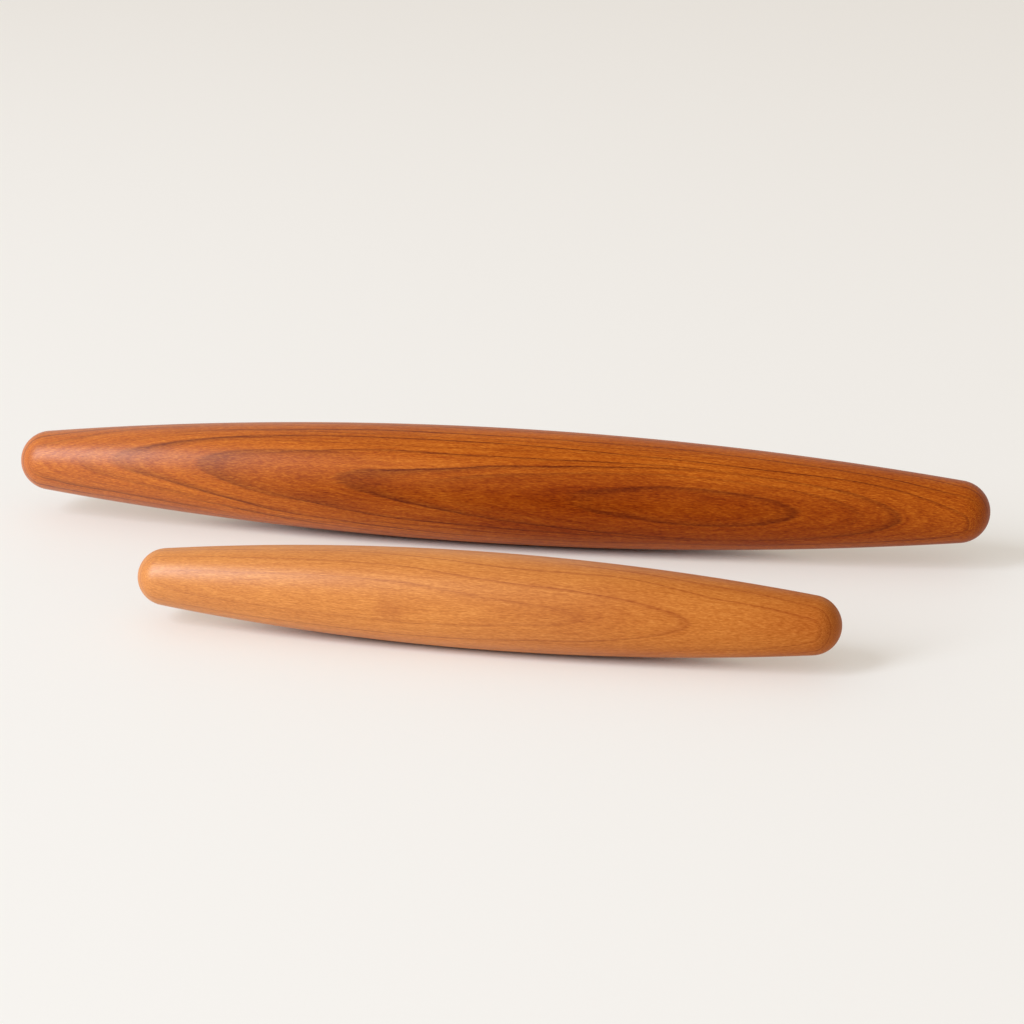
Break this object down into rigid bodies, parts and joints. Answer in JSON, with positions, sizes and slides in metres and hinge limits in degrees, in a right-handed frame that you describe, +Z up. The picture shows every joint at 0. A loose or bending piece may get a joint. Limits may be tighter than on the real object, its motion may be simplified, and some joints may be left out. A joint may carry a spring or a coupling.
{
  "type": "french rolling pin",
  "caption": "Long and short French rolling pins, each turned from solid wood as one piece that tapers in a gentle arc from a thick middle to ball ends, for rolling dough under the palms.",
  "frame": {"origin": "on the table, where the long pin's belly touches it under the pin's middle", "axes": "+X along the long pin, +Z up, and -Y towards the side where the short pin lies"},
  "size_m": [0.47, 0.1759, 0.0555],
  "materials": {
    "long_pin_wood": "satin oil on dark red-brown wood, with open oval and arched growth lines along the barrel",
    "short_pin_wood": "satin oil on light tan wood, with a few thin growth lines"
  },
  "bodies": {
    "long_pin": {"long_pin": "long_pin_wood"},
    "short_pin": {"short_pin": "short_pin_wood"}
  },
  "joints": [
    {"name": "short_pin_lift", "type": "slide", "parent": "long_pin", "child": "short_pin", "axis": [0, 0, 1], "range_m": [0, 0.12]}
  ]
}
